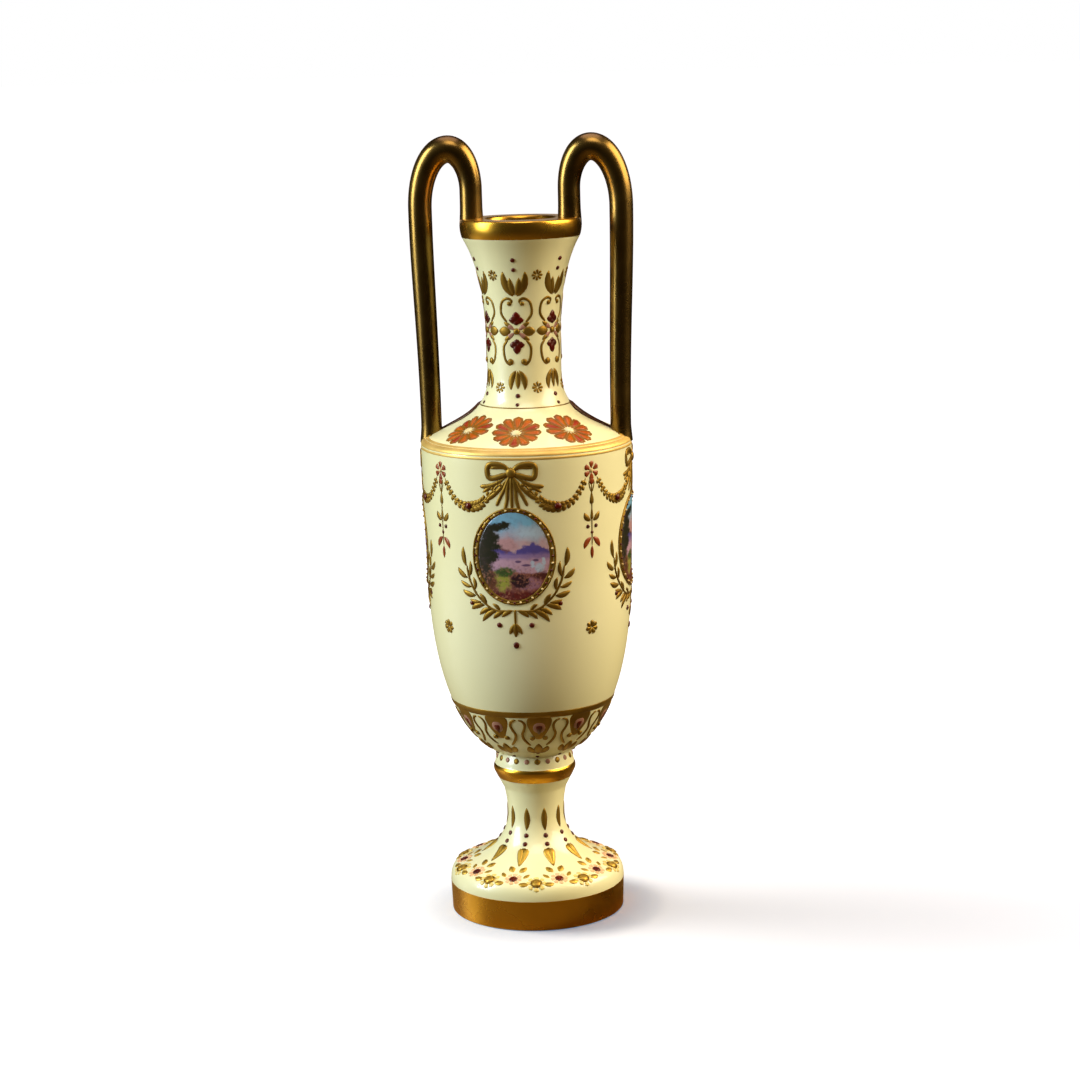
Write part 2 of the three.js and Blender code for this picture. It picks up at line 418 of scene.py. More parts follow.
hoop("neck_foot_line", 169.2, 0.45, 0.15)
hoop("shoulder_inner_line", 158.6, 1.2, 0.15, edge_gold_painted_light)
hoop("shoulder_edge_line", 157.7, 2.5, 0.2, edge_gold_painted_light)
hoop("shoulder_outer_line", 155.9, 0.9, 0.15, edge_gold_painted_light)
hoop("bowl_border_line", 71.7, 2.4, 0.3)

# The ornament is painted on the fired glaze with a loaded brush, in raised gold and enamels, and fired again.
# Each stroke, petal, bead and ring of it is a low dome whose edges lie just under the glaze. The four shapes
# that come first say how wide a stroke is at each share of its length.
STROKE_CROSS = 5  # points across a stroke


def even(share):
    return np.sqrt(np.clip(1 - (2 * share - 1) ** 8, 0, 1))


def leaf(share):
    return np.sin(np.pi * share) ** 0.8


def drop(share):
    return share**0.8 * np.sqrt(np.clip(1 - share**5, 0, 1)) * 1.15


def taper(share):
    return np.sqrt(np.clip(1 - (1 - share) ** 8, 0, 1)) * (1 - share) ** 0.6


def through(*marks, steps=5):
    """A smooth line through a few marks."""
    marks = np.array([marks[0], *marks, marks[-1]], float)
    share = np.linspace(0, 1, steps, endpoint=False)[:, None]
    line = []
    for a, b, c, d in zip(marks, marks[1:], marks[2:], marks[3:]):
        pull = 2 * b + (c - a) * share + (2 * a - 5 * b + 4 * c - d) * share**2
        line.append((pull + (3 * b - a - 3 * c + d) * share**3) / 2)
    return np.concatenate([*line, marks[-1:]])


class Spot:
    """A place on the urn to draw at, in millimetres across and up, mirrored if side is -1."""

    def __init__(self, turn, height, side=1):
        self.turn, self.height, self.side = turn, height, side

    def mirrored(self):
        return Spot(self.turn, self.height, -self.side)

    def place(self, marks, lift):
        run = run_at(self.height) + marks[..., 1]
        turn = self.turn + self.side * np.degrees(marks[..., 0] / radius_at(run))
        return on_skin(turn, run, lift)


class Brushwork:
    """Strokes and dots of one gold or enamel, gathered into one mesh."""

    def __init__(self):
        self.points, self.faces = [], []

    def add(self, points, faces, mirrored):
        first = len(self.points)
        self.points += [tuple(p) for p in points]
        for face in faces:
            face = [first + corner for corner in face]
            self.faces.append(tuple(reversed(face)) if mirrored else tuple(face))

    def stroke(self, spot, line, width, height=0.25, swell=even):
        """A stroke along a line, as wide as swell says at each share of it."""
        along = heading(line)
        across = np.stack([-along[:, 1], along[:, 0]], -1)
        run = distance_along(line)
        half = swell(run / run[-1]) / 2
        arc = np.linspace(0, math.pi, STROKE_CROSS)
        body = slice(1, -1)
        offsets = across[body, None] * (np.cos(arc) * half[body, None] * width)[..., None]
        lifts = np.sin(arc) * (np.sqrt(2 * half[body]) * height)[:, None] - SINK
        rings = spot.place(line[body, None] + offsets, lifts).reshape(-1, 3)
        tips = spot.place(line[[0, -1]], -SINK)
        start, end = len(rings), len(rings) + 1
        faces = walls(len(line) - 2, STROKE_CROSS)
        faces += fan(start, 0, STROKE_CROSS, below=True)
        faces += fan(end, start - STROKE_CROSS, STROKE_CROSS)
        self.add(np.concatenate([rings, tips]), faces, spot.side < 0)

    def petal(self, spot, root, tip, width, height=0.25, swell=leaf, bow=0.0, steps=7):
        """A leaf or petal from its root to its tip, bowed sideways by a share of its length."""
        root, tip = np.array(root, float), np.array(tip, float)
        reach = tip - root
        middle = (root + tip) / 2 + np.array([-reach[1], reach[0]]) * bow * 2
        self.stroke(spot, stretch(root, middle, tip, steps=steps), width, height, swell)

    def dot(self, spot, at, radius, height=None, tall=1.0, sides=12):
        """A low round bead, or one stretched up the urn by tall."""
        height = radius * 0.5 if height is None else height
        turns = even_turns(sides)
        ring = np.stack([np.cos(turns), np.sin(turns) * tall], -1) * radius
        rows = [(1.0, -SINK), (0.82, height * 0.6), (0.45, height * 0.92)]
        points = [spot.place(np.array(at) + ring * share, lift) for share, lift in rows]
        ends = [spot.place(np.array([at], float), lift) for lift in (-SINK, height)]
        faces = walls(len(rows), sides)
        faces += fan(len(rows) * sides, 0, sides, below=True)
        faces += fan(len(rows) * sides + 1, (len(rows) - 1) * sides, sides)
        self.add(np.concatenate(points + ends), faces, spot.side < 0)

    def flower(self, spot, petals, reach, width, start, height):
        """Petals round the spot, the first straight up, each from a share of its reach."""
        for turn in np.radians(np.arange(petals) * 360 / petals + 90):
            way = np.array([math.cos(turn), math.sin(turn)]) * reach
            self.petal(spot, way * start, way, width, height, drop, steps=5)

    def ring(self, spot, across, tall, width, height, sides):
        """A line round an oval, which is half as wide and half as high as across and tall say."""
        turns = even_turns(sides)[:, None]
        arc = np.linspace(0, math.pi, STROKE_CROSS)
        wide = across + np.cos(arc) * width / 2
        high = tall + np.cos(arc) * width / 2
        marks = np.stack([np.cos(turns) * wide, np.sin(turns) * high], -1)
        points = spot.place(marks, np.sin(arc)[None] * height - SINK).reshape(-1, 3)
        self.add(points, inside_out(walls(sides, STROKE_CROSS, closed=True)), spot.side < 0)

    def done(self, name, material, slot):
        return piece(name, self.points, self.faces, material)


def enamel(name, light, dark):
    """A glossy fired enamel that pools a little darker and lighter."""
    return fired(name, {"Specular Tint": (1, 0.75, 0.5, 1)}, 250, light, dark, 250, (0.22, 0.38))


def around(count, first):
    """The turns of so many like marks, evenly right round the urn."""
    return [first + 360 / count * i for i in range(count)]


# Six columns of ornament down the neck, in raised gold with dark red enamel: beads, a tulip, scrolls round
# two red quatrefoils and a gold chain, an upside-down palmette, and small gold flowers between the columns.
COLUMNS = 6
COLUMN_TURN = -3.9
CHAIN_HEIGHT = 193.4
QUATREFOILS = ((3.6, 6.4, 1.9), (-4.3, -7.4, -2.4))  # middle, outer point and inner point, over the chain
NECK_BEADS = ((216.2, 0.8), (213.1, 0.75), (172.9, 0.8), (170.2, 0.65))  # height and radius
NECK_FLOWERS = (211.3, 175.4)

dark_red = enamel("dark_red_enamel", colour(92, 10, 2), colour(58, 4, 1))
mauve = enamel("mauve_enamel", colour(168, 124, 98), colour(146, 100, 80))

neck_gold, neck_red, neck_mauve = Brushwork(), Brushwork(), Brushwork()
for turn in around(COLUMNS, COLUMN_TURN):
    middle = Spot(turn, CHAIN_HEIGHT)
    for spot in (middle, middle.mirrored()):
        # the tulip
        neck_gold.petal(spot, (0.3, 11), (3.6, 19.8), 2.8, 0.3, leaf, -0.12)
        neck_gold.petal(spot, (0.1, 11.4), (1.5, 17.6), 2.1, 0.35, leaf, -0.06)
        # the scrolls and the palmette
        upper_scroll = through((2.9, 2.8), (5, 5.6), (4.7, 9.2), (2.8, 10.6), (1.3, 9.9), (2, 8.5))
        neck_gold.stroke(spot, upper_scroll, 1.0)
        neck_gold.dot(spot, (2.1, 8.9), 0.8)
        lower_scroll = through((2.9, -2.6), (4.5, -5), (4.1, -8.8), (2.7, -10.5), (1.6, -9.7))
        neck_gold.stroke(spot, lower_scroll, 1.0)
        neck_gold.dot(spot, (2.2, -9.7), 1.05)
        neck_gold.petal(spot, (0.3, -12.2), (2.2, -18.9), 2.2, 0.3, leaf, 0.12)
        # the chain, with mauve behind it
        neck_gold.petal(spot, (1.7, 0), (6.3, 0), 3.4, 0.3)
        neck_gold.petal(spot, (1.3, 1.1), (4.3, 3), 1.6)
        neck_gold.petal(spot, (1.3, -1.1), (4.3, -3), 1.6)
        neck_mauve.petal(spot, (0.4, 0.3), (2.9, 2.0), 2.2, 0.3, drop)
        neck_mauve.petal(spot, (0.4, -0.3), (2.9, -2.0), 2.2, 0.3, drop)
        # the quatrefoils
        for height, *_ in QUATREFOILS:
            neck_red.petal(spot, (-0.5, height), (2.5, height), 2.5, 0.35)
    for height, point, back in QUATREFOILS:
        neck_red.petal(middle, (0, height - (point - height) * 0.2), (0, point), 2.8, 0.4)
        neck_red.petal(middle, (0, height), (0, back), 2.3, 0.35)
    neck_gold.petal(middle, (0, -12.4), (0, -18.6), 1.9, 0.35)
    neck_gold.dot(middle, (0, 0), 1.1, 0.6)
    for height, radius in NECK_BEADS:
        neck_red.dot(Spot(turn, height), (0, 0), radius)
    for height in NECK_FLOWERS:
        between_columns = Spot(turn + 180 / COLUMNS, height)
        neck_gold.flower(between_columns, 8, 2.0, 1.25, 0.05, 0.3)
neck_gold.done("neck_gilding", raised_gold, "gilding")
neck_red.done("neck_red_enamel", dark_red, "enamel")
neck_mauve.done("neck_mauve_enamel", mauve, "enamel")

# Three rosettes on the front of the shoulder and three behind: petals of coral enamel with a few of red, each
# edged in brown gold, round a pale middle. Gold feathers fan out over the foot of each handle, and a broad
# dark brown stroke runs up the side of the shoulder from it to the neck.
ROSETTE_TURNS = [middle + step for middle in (-1, 179) for step in (-43, 0, 43)]
ROSETTE_HEIGHT = 162.6
PETALS = 12
FEATHERS_TURN, FEATHERS_HEIGHT = 92, 158.2  # to either side of the front
TAIL_TURN, TAIL_HEIGHT = 91, 158.4

coral = enamel("coral_enamel", colour(188, 96, 16), colour(160, 68, 8))
brown_gold = enamel("brown_gold_enamel", colour(146, 94, 22), colour(116, 70, 14))
chestnut = enamel("shoulder_dark_brown", colour(70, 34, 10), colour(44, 18, 6))
red = enamel("red_enamel", colour(160, 58, 22), colour(134, 38, 14))
cream = enamel("cream_enamel", colour(238, 222, 170), colour(222, 200, 136))

rosette_gold, rosette_coral, rosette_cream, rosette_red, feathers, tails = (Brushwork() for _ in range(6))
for turn in ROSETTE_TURNS:
    spot = Spot(turn, ROSETTE_HEIGHT)
    for i, way in enumerate(even_turns(PETALS)):
        way = np.array([math.sin(way), math.cos(way)])
        rosette_gold.petal(spot, way * 0.8, way * 8.4, 4.7, 0.2, drop)
        paint = rosette_red if i % 4 == 2 else rosette_coral
        paint.petal(spot, way * 2.4, way * 7.6, 2.7, 0.36, drop)
    rosette_cream.dot(spot, (0, 0), 1.5, 0.5)
for side in (1, -1):
    foot = Spot(FEATHERS_TURN * side, FEATHERS_HEIGHT, side)
    for way in np.radians((-70, -35, 0, 35, 70)):
        way = np.array([math.sin(way), math.cos(way)])
        feathers.petal(foot, way * 3, way * 6.4, 2.0, 0.45)
    tails.stroke(Spot(TAIL_TURN * side, TAIL_HEIGHT, side), stretch((0, 1), (0, 22)), 7.5, 1.0, drop)
rosette_gold.done("rosette_outlines", brown_gold, "gilding")
rosette_coral.done("rosette_coral_enamel", coral, "enamel")
rosette_red.done("rosette_red_enamel", red, "enamel")
rosette_cream.done("rosette_middles", cream, "enamel")
feathers.done("handle_feathers", raised_gold, "gilding")
tails.done("shoulder_tails", chestnut, "enamel")

# Four oval landscapes painted in enamels on the body: a lake under hills and a pale sky, with a dark tree
# and bushes on the near shore. Each is a thin skin of fired colour with its own UV map in millimetres.
MEDALLIONS = 4
MEDALLION_TURN = -2
MEDALLION_HEIGHT = 124.9
PICTURE = (11.5, 14.4)  # half its width and half its height
PICTURE_LIFT = 0.12
PICTURE_ROWS = 24
PICTURE_SIDES = 64


def landscape():
    gloss = {"Coat Weight": 0.3, "Coat Roughness": 0.05, "Roughness": 0.35}
    material, shader, tree = finish("landscape_enamel", gloss)
    place = node(tree, "UVMap").outputs[0]
    split = node(tree, "SeparateXYZ", place)
    across, up = split.outputs[0], split.outputs[1]

    def sums(kind, a, b=None):
        return node(tree, "Math", a, b, operation=kind).outputs[0]

    def ramp(value, start, end, low=0.0, high=1.0):
        return node(tree, "MapRange", value, start, end, low, high).outputs[0]

    def wander(scale, amount, shift=0.0):
        """Noise about nought, in millimetres."""
        moved = node(tree, "Mapping", place, (shift, shift, shift)).outputs[0]
        cloud = node(tree, "TexNoise", moved, None, scale, 4.0).outputs[0]
        return sums("MULTIPLY", sums("SUBTRACT", cloud, 0.5), amount)

    def below(line, soft, rough, scale, shift):
        """1 under a ragged line, which is a height or a socket, going to 0 over a soft edge."""
        edge = sums("ADD", sums("SUBTRACT", line, up), wander(scale, rough, shift))
        return ramp(edge, -soft, soft)

    def clump(x, y, wide, high, rough, scale=0.7, soft=0.25):
        """1 inside a ragged oval."""
        dx = sums("DIVIDE", sums("SUBTRACT", across, x), wide)
        dy = sums("DIVIDE", sums("SUBTRACT", up, y), high)
        away = sums("SQRT", sums("ADD", sums("MULTIPLY", dx, dx), sums("MULTIPLY", dy, dy)))
        return ramp(sums("ADD", away, wander(scale, rough / wide, x + y)), 1 + soft, 1 - soft)

    def lay(share, *shade):
        """Paint over what is there with this colour, where share says."""
        nonlocal paint
        paint = blended(tree, share, paint, colour(*shade))

    # the sky, a white cloud and two of dusk
    sky_share = ramp(sums("ADD", up, wander(0.3, 9)), 3.0, 11.0)
    paint = blended(tree, sky_share, colour(194, 158, 154), colour(118, 170, 190))
    lay(clump(5.5, 7.6, 4.4, 1.8, 4, 0.5, 0.6), 172, 192, 200)
    lay(clump(-2, 3.8, 3.6, 2.2, 4, 0.5), 184, 140, 136)
    lay(clump(-2.6, 1.6, 1.6, 0.9, 2, 0.8), 110, 70, 72)
    # a ridge of hills with one peak, the haze at its foot and the lake
    swing = sums("SINE", sums("MULTIPLY", sums("SUBTRACT", across, 2.5), 0.42))
    ridge = sums("ADD", 2.7, sums("MULTIPLY", swing, 1.4))
    lay(below(ridge, 0.4, 3.4, 0.7, 3.0), 80, 70, 134)
    lay(below(0.9, 0.6, 1.6, 0.6, 8.0), 138, 112, 150)
    lay(below(-0.8, 0.5, 1.2, 0.5, 5.0), 186, 148, 160)
    # pale rocks and dark islets in the lake
    for x, y, wide, high in ((8.2, -3.6, 1.4, 1.4), (6, -2.6, 0.6, 1.1), (9.6, -1.8, 0.6, 1.4)):
        lay(clump(x, y, wide, high, 1.8, 0.9), 178, 190, 202)
    for x, y, wide in ((7, -1.2, 1.0), (4, -2.8, 1.4), (1.5, -1.6, 1.0)):
        lay(clump(x, y, wide, 0.4, 0.8), 96, 74, 104)
    # the near shore, with a path, flowers and bushes
    shore = sums("ADD", -5, sums("MULTIPLY", across, -0.08))
    lay(below(shore, 0.4, 2.2, 0.6, 1.0), 132, 80, 66)
    lay(clump(8.5, -6.4, 3, 1.2, 2), 78, 34, 30)
    lay(clump(5, -9, 3.8, 2.2, 3), 150, 104, 116)
    lay(below(-11, 0.8, 3.0, 0.5, 2.0), 92, 26, 22)
    lay(clump(1.8, -7.8, 3.2, 2.3, 4.5, 0.9, 0.2), 44, 18, 26)
    lay(clump(-3.6, -7.8, 2.6, 3.4, 4.6), 150, 150, 56)
    lay(clump(-2.8, -5, 3, 1.5, 4.2, 0.8), 58, 84, 32)
    # a dark tree on the left: the bank under it, its trunk and its boughs
    lay(clump(-8.6, -9, 3.2, 3.8, 2.5), 92, 52, 28)
    lay(clump(-9.4, -0.5, 2.8, 8.4, 3.4, 1.0), 38, 36, 18)
    boughs = (
        (-5.4, 9.4, 2.2, 1.3),
        (-2.6, 10, 1.8, 1.2),
        (-6.8, 6, 2.6, 1.6),
        (-6, 3.2, 2.4, 1.2),
        (-7, 0, 2.4, 2),
        (-8, 7.6, 2.4, 2.6),
        (-7.4, 4.6, 2, 2.4),
    )
    for x, y, wide, high in boughs:
        lay(clump(x, y, wide, high, 3.2, 1.4), 30, 32, 14)
    # touches of the brush: faint all over, and dark and light flecks on the near shore
    lay(ramp(wander(0.9, 1.0, 4.0), 0.0, 0.3, 0.0, 0.3), 84, 62, 72)
    near_shore = below(-3.8, 1.6, 2.0, 0.6, 9.0)
    for scale, shift, shade in ((1.1, 7.0, (44, 20, 20)), (1.4, 11.0, (176, 120, 92))):
        flecks = ramp(wander(scale, 1.0, shift), 0.02, 0.14, 0.0, 0.5)
        lay(sums("MULTIPLY", near_shore, flecks), *shade)
    tree.links.new(paint, shader.inputs["Base Color"])
    return material


def oval_skin(spot):
    """Points, faces and flat places of a picture that follows the urn, with its edge turned under."""
    turns = even_turns(PICTURE_SIDES)
    oval = np.stack([np.cos(turns), np.sin(turns)], -1) * PICTURE
    rings = [oval * (row / PICTURE_ROWS) for row in range(1, PICTURE_ROWS + 1)]
    marks = np.concatenate([*rings, oval, [[0, 0]], [[0, 0]]])
    edge = PICTURE_ROWS * PICTURE_SIDES
    top, under = len(marks) - 2, len(marks) - 1
    lifts = np.full(len(marks), PICTURE_LIFT)
    lifts[edge:top] = lifts[under] = -SINK
    faces = [face[::-1] for face in walls(PICTURE_ROWS + 1, PICTURE_SIDES)]
    faces += fan(top, 0, PICTURE_SIDES)
    faces += fan(under, edge, PICTURE_SIDES, below=True)
    return spot.place(marks, lifts), faces, marks


picture_paint = landscape()
for name, turn in zip(("front", "right", "back", "left"), around(MEDALLIONS, MEDALLION_TURN)):
    points, faces, marks = oval_skin(Spot(turn, MEDALLION_HEIGHT))
    picture = piece("landscape_" + name, points, faces, picture_paint)
    layer = picture.data.uv_layers.new(name="flat")
    for loop in picture.data.loops:
        layer.data[loop.index].uv = marks[loop.vertex_index]

# Round each landscape a gold frame set with pearls and dark beads; over it a ribbon bow; round its lower
# half two sprays of laurel with berries; and swags of leaves, longest in the middle, from bow to pendant.
FRAME = (12.1, 14.7)  # half its width and half its height
FRAME_RIM = (13.3, 15.3)
BEAD_LINE = (12.5, 14.9)
BEADS = 40
BOW_HEIGHT = 151.9
BOW_LOOP = (  # from the knot along the top of the loop and back below
    (0.4, 0.2), (2.8, 2), (5.9, 2.4), (7.5, 1.6), (7.6, -0.8), (6.6, -2.1), (3.6, -1.5), (0.4, -0.4)
)
SWAG_HEIGHT = 140.6  # the lowest point of its stem
SWAG = (  # the stem, from the pendant's flower to the bow
    (24.6, 8.2), (22.8, 5), (20, 1.6), (16.6, 0), (13, 0), (10, 1.2), (6.2, 5), (2, 9.6)
)
SWAG_MIDDLE = 14
pearl = enamel("pearl_enamel", colour(224, 200, 136), colour(200, 172, 104))

LAUREL = (  # root, tip, width and bend of each leaf, in millimetres from the landscape's middle
    ((16.3, -4), (17.3, 2.6), 2.0, -0.08),
    ((15.8, -7.6), (19.8, -4.4), 1.9, -0.12),
    ((15.6, -7.4), (14.9, -1.8), 1.5, 0.1),
    ((14.4, -10.4), (18.8, -8.6), 1.6, -0.1),
    ((12.8, -13), (18.2, -11.6), 2.0, -0.1),
    ((13.4, -11.4), (13.9, -7), 1.5, 0.1),
    ((11, -15), (15.4, -14.4), 1.5, -0.1),
    ((9.8, -16), (15, -17.8), 2.1, 0.12),
    ((9.4, -16.2), (11.8, -12.2), 1.6, 0.1),
    ((7.4, -17), (12, -19.4), 1.7, 0.12),
    ((5.6, -17.4), (11, -21.6), 2.0, 0.12),
    ((4.8, -17.6), (7.4, -15.4), 1.4, 0.1),
    ((3.2, -17.6), (7.2, -20.4), 1.7, 0.1),
    ((0.6, -17.4), (4.4, -19.8), 1.7, 0.1),
)
frames, bows, garlands, pearls, berries = (Brushwork() for _ in range(5))
for turn in around(MEDALLIONS, MEDALLION_TURN):
    middle = Spot(turn, MEDALLION_HEIGHT)
    frames.ring(middle, *FRAME, 1.3, 0.35, sides=72)
    frames.ring(middle, *FRAME_RIM, 0.8, 0.5, sides=72)
    for i, way in enumerate(even_turns(BEADS)):
        bead = (math.cos(way) * BEAD_LINE[0], math.sin(way) * BEAD_LINE[1])
        (pearls if i % 2 else berries).dot(middle, bead, 0.45, 0.7, sides=8)
    # the bow: on each side a loop, and five ends of ribbon
    bow = Spot(turn, BOW_HEIGHT)
    for spot in (bow, bow.mirrored()):
        bows.stroke(spot, through(*BOW_LOOP), 1.9, 0.5)
        bows.stroke(spot, through((1, 0.9), (3.8, 1.6), (7, 1)), 1.7, 0.35, leaf)
        bows.stroke(spot, through((0.5, -1), (3.6, -3), (7, -4.6), (10.4, -4.8)), 2.2, 0.4, drop)
        bows.stroke(spot, through((4.6, -3.4), (7.6, -5.4), (9.6, -6.8)), 1.7, 0.35, leaf)
        bows.stroke(spot, through((0.4, -1), (3, -4.6), (5.6, -7.2), (8.4, -9.2)), 2.1, 0.4, drop)
        bows.stroke(spot, through((0.3, -1), (2, -5), (3.8, -8.4), (5, -11)), 1.3, 0.35)
        bows.stroke(spot, through((0.3, -1), (1.2, -5), (1.5, -9), (2.4, -12.4)), 1.3, 0.35)
    bows.dot(bow, (0, -0.3), 1.8, 0.9)
    bows.stroke(bow, stretch((0, -1), (0, -12)), 1.2, 0.4)
    # the swags and the laurel
    for side in (1, -1):
        swag = Spot(turn, SWAG_HEIGHT, side)
        hang = through(*SWAG)
        garlands.stroke(swag, hang, 0.7, 0.3)
        for i in range(2, len(hang) - 3, 2):
            ahead = hang[i + 1] - hang[i - 1]
            ahead /= np.hypot(*ahead)
            aside = np.array([-ahead[1], ahead[0]])
            size = 1.4 + 0.9 * math.exp(-(((hang[i][0] - SWAG_MIDDLE) / 5) ** 2))
            for way in (1, -1):
                tip = hang[i] + (ahead * 0.9 + aside * way * 0.8) * size
                garlands.petal(swag, hang[i], tip, size * 0.85, 0.35)
        berries.dot(swag, (14.6, 0), 1.3, 0.9)
        spray = Spot(turn, MEDALLION_HEIGHT, side)
        stem = through((0, -17.4), (6.5, -17.4), (11.8, -13.6), (15, -8.6), (16.3, -3))
        garlands.stroke(spray, stem, 0.8, 0.35)
        for root, tip, width, bend in LAUREL:
            garlands.petal(spray, root, tip, width, 0.4, leaf, bend)
        berries.dot(spray, (14.6, -15.6), 0.8)
        berries.dot(spray, (5.2, -22.3), 0.9)
        garlands.petal(spray, (0.2, -21.6), (2.1, -25.4), 1.6, 0.35)
    garlands.stroke(middle, stretch((0, -17), (0, -22)), 0.9, 0.35)
    garlands.petal(middle, (0, -21), (0, -26.4), 1.9, 0.4)
    berries.dot(middle, (0, -28.9), 0.95, tall=1.25)
frames.done("medallion_frames", raised_gold, "gilding")
bows.done("bows", raised_gold, "gilding")

# Pendants halfway between the landscapes: a pinkish red flower, and from it a fine stem with leaves, berries
# and a trefoil. Below each, low on the body, is one small gold flower.
PENDANT_TURN = MEDALLION_TURN + 180 / MEDALLIONS
PENDANT_HEIGHT = 150.8
LONE_FLOWER_HEIGHT = 100.1
rose = enamel("rose_enamel", colour(150, 72, 30), colour(120, 44, 16))
roses = Brushwork()
for turn in around(MEDALLIONS, PENDANT_TURN):
    flower = Spot(turn, PENDANT_HEIGHT)
    roses.flower(flower, 6, 3.1, 2.5, 0.15, 0.35)
    pearls.dot(flower, (0, 0), 0.7, 0.5)
    roses.petal(flower, (0, -2), (0, -4.6), 2.2, 0.35)
    garlands.stroke(flower, stretch((0, -2.4), (0, -25)), 0.45, 0.25)
    garlands.petal(flower, (0, -6.4), (0, -11), 2.3, 0.35, drop)
    garlands.petal(flower, (0, -11.4), (0, -16), 1.7, 0.35, drop)
    roses.petal(flower, (0, -24), (0, -28.4), 1.5, 0.35)
    for spot in (flower, flower.mirrored()):
        garlands.stroke(spot, through((0.4, -2.4), (1, -4), (0.2, -7)), 0.45, 0.2)
        garlands.petal(spot, (0.3, -16), (2.9, -13.2), 2.0, 0.35, leaf, -0.15)
        berries.dot(spot, (1.6, -17.8), 0.7)
        roses.petal(spot, (0.2, -21.4), (3.1, -25), 2.0, 0.35, leaf, 0.12)
    berries.dot(flower, (0, -19.8), 0.6)
    garlands.flower(Spot(turn, LONE_FLOWER_HEIGHT), 7, 2.5, 2.0, 0.0, 0.35)
garlands.done("garlands", raised_gold, "gilding")
pearls.done("pearls", pearl, "enamel")
berries.done("berries", dark_red, "enamel")
roses.done("rose_enamel_flowers", rose, "enamel")

# The border round the bottom of the bowl: eleven dark red gems set in gold where round-headed ivory lobes
# meet, two gold beads and a gold bud under each. On the collar over the gilt ring are dots of red and pink
# with small gold petals.
GEMS = 11
GEM_TURN = 10.7
BORDER_HEIGHT = 71.7
COLLAR_RED_HEIGHT, COLLAR_PETAL_HEIGHT, COLLAR_PINK_HEIGHT = 54.6, 52, 52.3
LOBE = (  # half of the outline of a lobe, from its crown down, in millimetres from the top of the border
    (7.1, -1.9), (5.6, -2.5), (4.7, -4.1), (4.9, -6.1), (5.4, -8), (4.9, -10.2), (3.7, -12.2), (2.4, -13.8)
)

border_gold, border_pink, border_red = (Brushwork() for _ in range(3))
for turn in around(GEMS, GEM_TURN):
    spot = Spot(turn, BORDER_HEIGHT)
    border_gold.stroke(spot, stretch((0, 0), (0, -11), steps=14), 12, 0.2, taper)
    border_pink.dot(spot, (0, -5.2), 2.2, 0.25, tall=1.15)
    border_red.petal(spot, (0, -8.4), (0, -3.8), 3.3, 0.55, drop)
    for side in (spot, spot.mirrored()):
        border_gold.stroke(side, through(*LOBE), 1.0, 0.35)
        border_gold.dot(side, (2.1, -9.9), 0.95, 0.6)
        border_gold.petal(side, (0.4, -18.6), (3.1, -14), 2.6, 0.35, leaf, -0.12)
    border_gold.petal(spot, (0, -19.8), (0, -12.6), 3.2, 0.45)
    border_red.dot(Spot(turn, COLLAR_RED_HEIGHT), (0, 0), 0.7)
    border_gold.petal(Spot(turn, COLLAR_PETAL_HEIGHT), (0, -0.8), (0, 1.4), 2.2, 0.3)
    border_pink.dot(Spot(turn + 180 / GEMS, COLLAR_PINK_HEIGHT), (0, 0), 0.9, 0.3)
border_gold.done("bowl_border_gilding", raised_gold, "gilding")
border_pink.done("bowl_border_pink_enamel", mauve, "enamel")
border_red.done("bowl_border_gems", dark_red, "enamel")

# The foot: ten long gold drops down the stem, each over two red beads and a gold heart, and on the spread of
# the foot ten pale roundels with red middles among gold leaves, with small gold flowers between them.
DROPS = 10
DROP_TURN = -12.5
DROP_HEIGHT, HEART_HEIGHT, ROUNDEL_HEIGHT, FLOWER_HEIGHT = 31.8, 22.8, 16, 15.4
STEM_BEADS = (26.6, 24.1)

bright_gold = brushed_gold("bright_gilding", 0.8, colour(206, 166, 64), colour(178, 138, 44), (0.4, 0.55))
blush = enamel("blush_enamel", colour(234, 190, 138), colour(220, 168, 112))
straw = enamel("straw_enamel", colour(232, 208, 120), colour(214, 186, 92))
stem_gold, foot_gold, foot_red, foot_blush, foot_straw = (Brushwork() for _ in range(5))
for turn in around(DROPS, DROP_TURN):
    stem_gold.petal(Spot(turn, DROP_HEIGHT), (0, 4.2), (0, -4), 2.3, 0.35)
    for height in STEM_BEADS:
        foot_red.dot(Spot(turn, height), (0, 0), 0.85)
    heart = Spot(turn, HEART_HEIGHT)
    stem_gold.petal(heart, (0, -7.6), (0, 0.6), 5.4, 0.2, drop)
    for side in (heart, heart.mirrored()):
        foot_gold.petal(side, (0.1, -6.8), (1.2, 0.2), 2.6, 0.45, drop)
    roundel = Spot(turn, ROUNDEL_HEIGHT)
    foot_blush.flower(roundel, 8, 3.0, 2.2, 0.3, 0.3)
    foot_red.dot(roundel, (0, 0), 1.5, 0.5)
    for side in (roundel, roundel.mirrored()):
        foot_gold.petal(side, (1.0, 3.4), (2.8, 6.2), 2.4, 0.35)
        stem_gold.petal(side, (1.4, 4.2), (2.5, 5.8), 0.9, 0.55)
        foot_gold.petal(side, (3, 0.6), (4.8, 2.8), 1.7)
        foot_gold.petal(side, (2.4, -2.4), (6, -2.7), 2.3, 0.35)
    flower = Spot(turn + 180 / DROPS, FLOWER_HEIGHT)
    stem_gold.ring(flower, 1.7, 1.7, 0.5, 0.5, sides=24)
    foot_gold.dot(flower, (0, 0), 1.6, 0.6)
    foot_straw.flower(flower, 8, 3.5, 2.3, 0.3, 0.3)
stem_gold.done("stem_gilding", raised_gold, "gilding")
foot_gold.done("foot_gilding", bright_gold, "gilding")
foot_red.done("foot_red_enamel", dark_red, "enamel")
foot_blush.done("foot_blush_enamel", blush, "enamel")
foot_straw.done("foot_straw_enamel", straw, "enamel")

